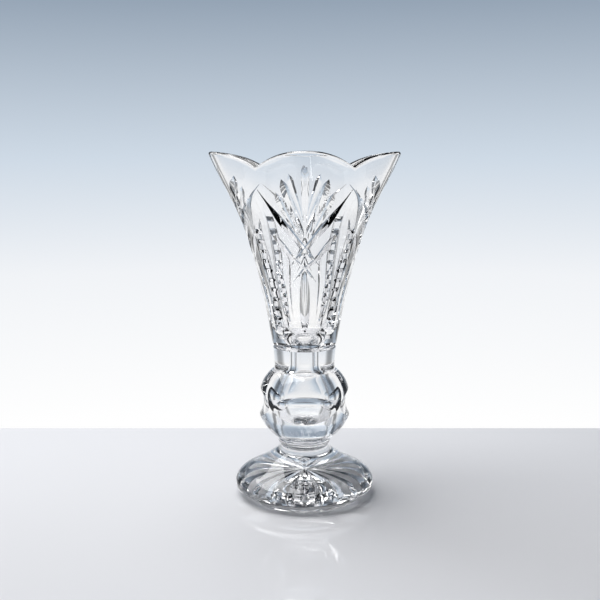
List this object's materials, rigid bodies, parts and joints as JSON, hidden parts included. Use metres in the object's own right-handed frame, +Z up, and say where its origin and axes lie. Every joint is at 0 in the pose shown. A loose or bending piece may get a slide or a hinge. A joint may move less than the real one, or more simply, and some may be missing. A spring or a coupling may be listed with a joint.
{
  "type": "cut glass vase",
  "caption": "Trumpet-shaped cut crystal vase with a scalloped four-lobed rim, notched columns, a hollow ball knop and a domed foot",
  "frame": {"origin": "centre of the resting plane under the foot, on the vase's axis", "axes": "+Z up the vase's axis; lobes of the rim point along X and Y, and one cut panel faces -Y"},
  "size_m": [0.1116, 0.1116, 0.204],
  "materials": {
    "crystal": "polished clear lead crystal"
  },
  "bodies": {
    "root": {"flared_bowl": "crystal", "neck": "crystal", "ball_knop": "crystal", "merese": "crystal", "foot": "crystal"}
  },
  "joints": []
}
